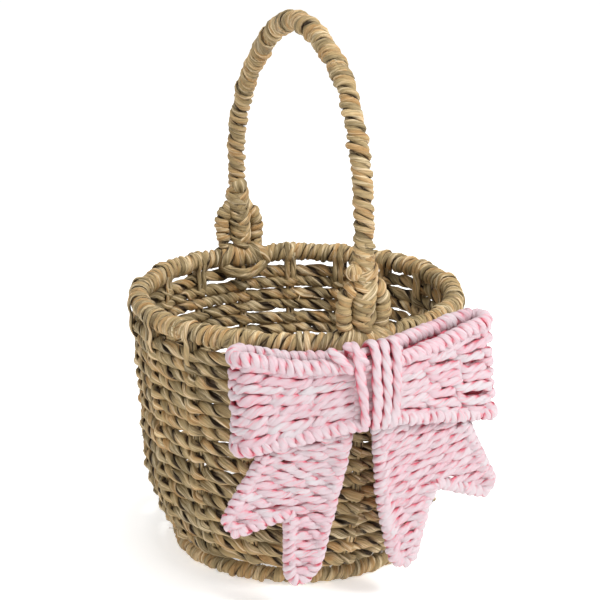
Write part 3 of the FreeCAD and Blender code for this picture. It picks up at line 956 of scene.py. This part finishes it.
class BASKET_OT_loops(bpy.types.Operator):
    """The bow's two loops: wrapped edges and woven bands"""

    bl_idname = "basket.loops"
    bl_label = "Bow loops"

    def execute(self, context):
        sizes = context.scene.basket_sizes
        pitch = sizes.paper_pitch
        for name, side, seed in (("bow_left_loop", -1, 71), ("bow_right_loop", 1, 72)):
            rolls = Strands(seed)
            for edge in (1, 0):
                core = smooth(loop_edge(side, LOOP_INNER - 8.0, edge), 1.6)
                wound_round(rolls, core, UP, EDGING_THICK + 0.3, pitch, pitch * 1.04, 3.9, **PAPER_COIL)
            place(rolls, name + "_rolls", "paper_rope", name + "_edging")
            band = Strands(seed + 10)
            top, bottom = loop_edge(side, 1.5, 1), loop_edge(side, 1.5, 0)
            for number in range(LOOP_ROWS):
                share = (number + 0.62) / (LOOP_ROWS + 0.24)
                core = smooth(bottom + (top - bottom) * share, 1.6)
                ahead = headings(core, False)
                out = unit(np.cross(ahead, UP) * side)
                reach = np.abs(core[:, 0])
                tip = int(np.argmax(reach))
                steps = run_length(core)
                turning = [steps[nearest(reach[:tip], rib)] for rib in LOOP_RIBS]
                turning += [steps[tip] - 8.0, steps[tip] + 6.0]
                turning += [steps[tip + nearest(reach[tip:], rib)] for rib in LOOP_RIBS[::-1]]
                phase = np.zeros(len(core)) + math.pi * (number % 2) + band.rng.normal(0.0, 0.25)
                for at in turning:
                    ease = np.clip((steps - at - band.rng.normal(0.0, 5.5)) / 15.0 + 0.5, 0.0, 1.0)
                    phase += math.pi * ease * ease * (3 - 2 * ease)
                core = core + UP * drift(band.rng, len(core), 8, 0.9)[:, None]
                for turned in (0.0, math.pi):
                    path = swung(core, out, -UP, 2.0, 1.9, phase + turned)
                    path = path + UP * drift(band.rng, len(core), 12, 0.45)[:, None]
                    band.lay(path, path - out, sizes.paper_width, 4.2, **PAPER)
            for rib in LOOP_RIBS:
                edges = [smooth(line, 1.6)[: len(line) * 2] for line in (bottom, top)]
                low_end, high_end = (line[nearest(np.abs(line[:, 0]), rib)] for line in edges)
                for shift, bulge in ((-1.8, -0.2), (1.9, -0.6)):
                    line = resample((low_end + UP * 2.0, high_end - UP * 2.0), 2.0)
                    line = line + (side * shift, -bulge, 0.0)
                    line[:, 0] += drift(band.rng, len(line), 4, 0.5)
                    band.lay(line, line + BACKWARD * 3.0, 4.2, 3.4, sides=10, ridges=2, groove=0.12)
                line = resample((low_end, high_end), 2.0)
                band.lay(line, line + BACKWARD * 3.0, 6.0, 5.0, sides=10, ridges=2, groove=0.1)
            place(band, name + "_cords", "paper_rope", name + "_weave", name + "_frame")
        return {"FINISHED"}


class BASKET_OT_knot(bpy.types.Operator):
    """Turns of paper cord round the middle of the bow, and the cord that ties it to the wall"""

    bl_idname = "basket.knot"
    bl_label = "Bow knot"

    def execute(self, context):
        knot = Strands(81)
        for along, lean in KNOT_TURNS:
            path = smooth([(along + lean * (z - 168) / 30, -y, z) for y, z in KNOT_SHAPE], 1.6, True)
            path[:, 0] += drift(knot.rng, len(path), 9, 0.5, True)
            core = np.column_stack((path[:, 0], np.full(len(path), -139.8), np.clip(path[:, 2], 148, 189)))
            knot.lay(path, core, 6.4, 4.6, closed=True, **PAPER)
        for low, high in KNOT_SLANTS:
            path = smooth((low, [(a + b) / 2 + c for a, b, c in zip(low, high, (0.0, -2.6, 1.0))], high), 1.6)
            knot.lay(path, path + (0.0, 4.0, -1.0), 6.2, 4.2, **PAPER)
        band = Strands(83)
        for number in range(8):
            height = 149.0 + 5.2 * number
            path = smooth([(-17.0, -144.2, height), (0.0, -143.4, height + 0.6), (17.0, -144.2, height)], 1.8)
            band.lay(path, path + BACKWARD * 3.0, 5.8, 4.0, **MIDDLE_CORD)
        for height in (187.5, 193.0):
            ends = [(along, -141.0, height - 1) for along in (-20.0, 20.0)]
            path = smooth([ends[0], (0.0, -138.6, height), ends[1]], 1.8)
            band.lay(path, path + (0.0, 2.0, -3.0), 6.4, 5.0, **MIDDLE_CORD)
        place(knot, "bow_knot_cords", "paper_rope", "bow_knot")
        place(band, "bow_middle_cords", "paper_rope")
        tie = Strands(82)
        over = ROW_LOW + ROW_PITCH * 11.5
        under = ROW_LOW + ROW_PITCH * 10.5
        corners = ((-128.6, over), (-104.0, over), (-104.0, under), (-128.6, under))
        path = resample([(3.4, *corner) for corner in corners], 1.2)
        tie.lay(path, np.tile((3.4, -116.0, (over + under) / 2), (len(path), 1)), 2.0, 1.9, sides=8, ridges=2)
        place(tie, "bow_tie_cord", "paper_rope", "bow_tie")
        return {"FINISHED"}


def inside_spans(outline, height, least):
    """Where a level line lies inside the outline, without the spans shorter than the least."""
    cuts = []
    for (x0, z0), (x1, z1) in zip(outline, outline[1:] + outline[:1]):
        if (z0 > height) != (z1 > height):
            cuts.append(x0 + (x1 - x0) * (height - z0) / (z1 - z0))
    cuts.sort()
    return [(start, end) for start, end in zip(cuts[::2], cuts[1::2]) if end - start >= least]


class BASKET_OT_tails(bpy.types.Operator):
    """The bow's two forked tails: wrapped edges and twined panels"""

    bl_idname = "basket.tails"
    bl_label = "Bow tails"

    def execute(self, context):
        pitch = context.scene.basket_sizes.paper_pitch
        for name, side, seed in (("bow_left_tail", -1, 91), ("bow_right_tail", 1, 92)):
            ahead = np.array((side * math.cos(TAIL_LEAN), math.sin(TAIL_LEAN), 0.0))
            out = np.array((side * math.sin(TAIL_LEAN), -math.cos(TAIL_LEAN), 0.0))
            spot = lambda along, height: ahead * along + UP * height - BACKWARD * TAIL_PLANE
            outline = TAIL_OUTLINES[side]
            outline = ((outline[0][0] - 1.0, 137.5), *outline, (76.5, 126.0))
            rolls = Strands(seed)
            core = resample([spot(*point) for point in outline], 1.5)
            for _ in range(3):
                core[1:-1] = (core[:-2] + 2 * core[1:-1] + core[2:]) / 4
            wound_round(rolls, core, out, 5.1, pitch, pitch * 1.04, 3.8, **PAPER_COIL)
            place(rolls, name + "_rolls", "paper_rope", name + "_edging")
            panel = Strands(seed + 10)
            height = 134.0
            while height > 36.0:
                for start, end in inside_spans(outline, height, 7.0):
                    line = resample((spot(start - 1.5, height), spot(end + 1.5, height)), 1.3)
                    places = np.arange(len(line)) * 1.3
                    near = np.minimum(places, places[::-1])
                    line = line + out * (2.6 * np.exp(-((near / 6.0) ** 2)))[:, None]
                    sag = np.sin(np.linspace(0.0, math.pi, len(line))) * panel.rng.normal(0.0, 0.5)
                    tilt = np.linspace(0.0, 1.0, len(line)) * min(1.6, (end - start) * 0.03)
                    core = line + UP * (sag + drift(panel.rng, len(line), 4, 0.4) + tilt)[:, None]
                    steps = run_length(core)
                    phase = math.pi * steps / 18.0 + drift(panel.rng, len(line), 5, 0.5)
                    phase = phase + panel.rng.uniform(0.0, TURN)
                    for turned in (0.0, math.pi):
                        path = swung(core, out, UP, 1.7, 1.7, phase + turned)
                        panel.lay(path, path - out, 5.8, 4.2, sides=12, **PAPER)
                height -= TAIL_ROW_PITCH
            place(panel, name + "_cords", "paper_rope", name + "_weave", name + "_frame")
        return {"FINISHED"}


class BASKET_OT_wires(bpy.types.Operator):
    """Finish of the wires that carry the weave"""

    bl_idname = "basket.wires"
    bl_label = "Wires"

    def execute(self, context):
        wire = material("steel_wire")
        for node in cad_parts.values():
            if not node.hide_render:
                node.data.materials.clear()
                node.data.materials.append(wire)
        return {"FINISHED"}


# name, place in metres, size in metres and power in watts
LIGHTS = (
    ("key", (1.0, -1.5, 1.9), 0.8, 43.0),
    ("fill", (-1.8, -0.9, 0.9), 1.6, 3.5),
    ("top", (0.1, -0.2, 2.3), 1.2, 20.0),
)


class BASKET_OT_stage(bpy.types.Operator):
    """Pale floor, soft studio light and the camera"""

    bl_idname = "basket.stage"
    bl_label = "Stage"

    def execute(self, context):
        scene = context.scene
        bpy.ops.object.select_all(action="DESELECT")
        bpy.ops.mesh.primitive_plane_add(size=50.0, location=(0.0, 0.0, 0.0))
        floor = context.object
        floor.name = "floor"
        bpy.ops.object.transform_apply()
        floor.data.materials.append(material("floor"))
        world = bpy.data.worlds.new("studio")
        world.use_nodes = True
        sky = world.node_tree.nodes["Background"].inputs
        sky["Color"].default_value = (1.0, 1.0, 1.0, 1.0)
        sky["Strength"].default_value = 0.55
        scene.world = world
        for name, spot, size, power in LIGHTS:
            light = bpy.data.lights.new(name, "AREA")
            light.shape = "DISK"
            light.size = size
            light.energy = power
            lamp = bpy.data.objects.new(name, light)
            lamp.location = spot
            towards = Vector((0.0, 0.0, 0.18)) - Vector(spot)
            lamp.rotation_euler = towards.to_track_quat("-Z", "Y").to_euler()
            scene.collection.objects.link(lamp)
        azimuth, elevation, distance = math.radians(-22.5), math.radians(17.0), 1.2
        right = Vector((math.cos(azimuth), math.sin(azimuth), 0.0))
        level = math.cos(elevation)
        back = Vector((math.sin(azimuth) * level, -math.cos(azimuth) * level, math.sin(elevation)))
        target = right * 0.003 + Vector((0.0, 0.0, 0.189))
        camera = bpy.data.cameras.new("camera")
        camera.lens = 96.0
        camera.sensor_width = 36.0
        camera.clip_start, camera.clip_end = 0.05, 100.0
        eye = bpy.data.objects.new("camera", camera)
        eye.location = target + back * distance
        eye.rotation_euler = (-back).to_track_quat("-Z", "Y").to_euler()
        scene.collection.objects.link(eye)
        scene.camera = eye
        scene.view_settings.view_transform = "Standard"
        return {"FINISHED"}


class BASKET_PT_panel(bpy.types.Panel):
    """Basket sizes, colours and pieces"""

    bl_label = "Basket"
    bl_idname = "BASKET_PT_panel"
    bl_space_type = "VIEW_3D"
    bl_region_type = "UI"
    bl_category = "Basket"

    def draw(self, context):
        for group in (context.scene.basket_sizes, context.scene.basket_colours):
            box = self.layout.box()
            for key in group.bl_rna.properties.keys():
                if key not in ("rna_type", "name"):
                    box.prop(group, key)
        for operator in OPERATORS:
            self.layout.operator(operator.bl_idname)


OPERATORS = (
    BASKET_OT_rim,
    BASKET_OT_rows,
    BASKET_OT_stakes,
    BASKET_OT_base,
    BASKET_OT_handle,
    BASKET_OT_feet,
    BASKET_OT_loops,
    BASKET_OT_knot,
    BASKET_OT_tails,
    BASKET_OT_wires,
    BASKET_OT_stage,
)
CLASSES = (BasketSizes, BasketColours, *OPERATORS, BASKET_PT_panel)


def register():
    for each in CLASSES:
        bpy.utils.register_class(each)
    bpy.types.Scene.basket_sizes = PointerProperty(type=BasketSizes)
    bpy.types.Scene.basket_colours = PointerProperty(type=BasketColours)


def unregister():
    del bpy.types.Scene.basket_sizes
    del bpy.types.Scene.basket_colours
    for each in reversed(CLASSES):
        bpy.utils.unregister_class(each)


def main():
    register()
    for operator in OPERATORS:
        group, name = operator.bl_idname.split(".")
        getattr(getattr(bpy.ops, group), name)()


if __name__ == "__main__":
    main()
